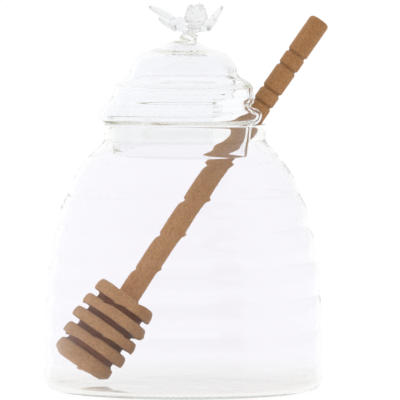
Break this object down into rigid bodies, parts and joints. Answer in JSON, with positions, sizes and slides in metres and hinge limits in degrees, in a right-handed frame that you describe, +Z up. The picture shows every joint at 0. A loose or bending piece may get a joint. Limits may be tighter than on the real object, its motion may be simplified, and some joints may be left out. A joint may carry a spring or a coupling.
{
  "type": "honey pot",
  "caption": "Clear glass honey pot shaped like a beehive, with soft ribs, a tiered glass lid with a bee for its knob and a notch for the handle, and a turned wooden dipper leaning inside.",
  "frame": {"origin": "the middle of the pot's foot, on the surface it stands on", "axes": "+Z up along the pot's axis; the dipper's handle leans towards +X and a little towards +Y; -Y is the side the picture shows"},
  "size_m": [0.1067, 0.105, 0.1446],
  "materials": {
    "glass": "clear, smooth, hand blown, with a faint cool tint",
    "wood": "turned brown wood with a fine grain, unvarnished"
  },
  "bodies": {
    "root": {"pot": "glass", "lid": "glass", "dipper": "wood"}
  },
  "joints": []
}
